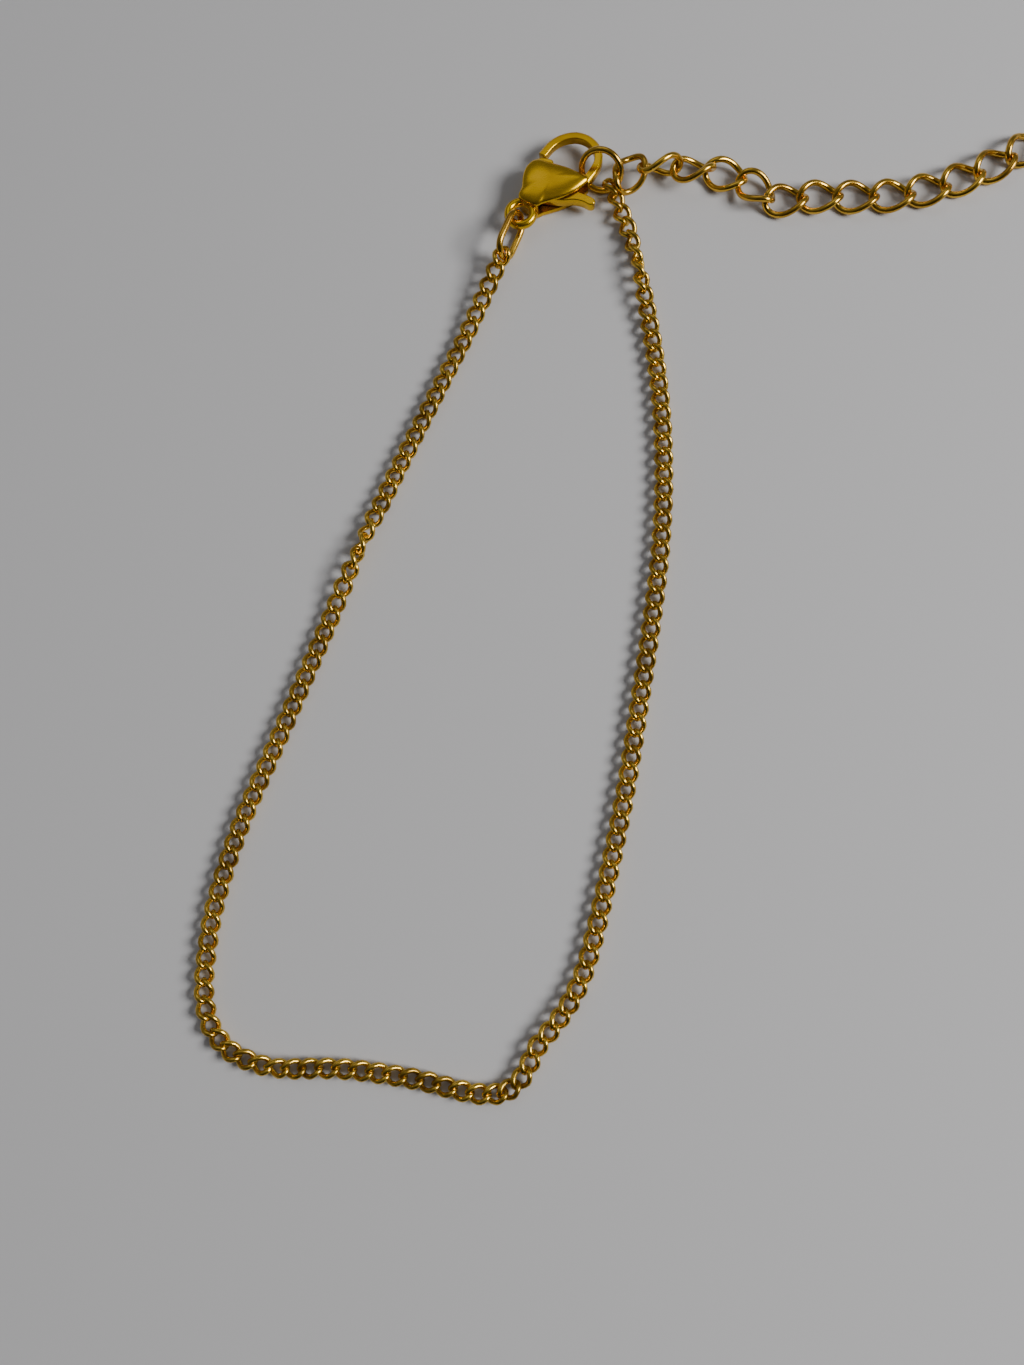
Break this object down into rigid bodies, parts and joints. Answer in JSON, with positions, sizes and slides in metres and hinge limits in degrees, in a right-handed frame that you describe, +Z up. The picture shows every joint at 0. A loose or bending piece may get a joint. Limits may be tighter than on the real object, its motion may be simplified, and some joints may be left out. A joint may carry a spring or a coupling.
{
  "type": "chain anklet",
  "caption": "Fine curb chain anklet, closed on a lobster clasp, with a connector ring and an extender of larger curb links.",
  "frame": {"origin": "on the surface it lies on, under the middle of its outer box", "axes": "+Z up from the surface, +Y from the far bend of the loop towards the clasp, +X towards the extender's free end"},
  "size_m": [0.0858, 0.098, 0.0042],
  "materials": {
    "chain_gold": "polished gold-coloured plating on wire",
    "clasp_gold": "high polish gold-coloured plating on a casting"
  },
  "bodies": {
    "anklet": {"chain_left": "chain_gold", "chain_right": "chain_gold", "end_ring": "chain_gold", "clasp_body": "clasp_gold", "connector_ring": "chain_gold", "extender_link_01": "chain_gold", "extender_link_02": "chain_gold", "extender_link_03": "chain_gold", "extender_link_04": "chain_gold", "extender_link_05": "chain_gold", "extender_link_06": "chain_gold", "extender_link_07": "chain_gold", "extender_link_08": "chain_gold", "extender_link_09": "chain_gold", "extender_link_10": "chain_gold", "extender_link_11": "chain_gold", "extender_link_12": "chain_gold", "extender_link_13": "chain_gold"},
    "lever": {"clasp_lever": "clasp_gold"}
  },
  "joints": [
    {"name": "lever_hinge", "type": "hinge", "parent": "anklet", "child": "lever", "pos_m": [-0.00938, 0.04328, 0.00156], "axis": [0, 0, 1], "range_deg": [-36, 0], "stiffness_Nm_per_rad": 0.004}
  ]
}
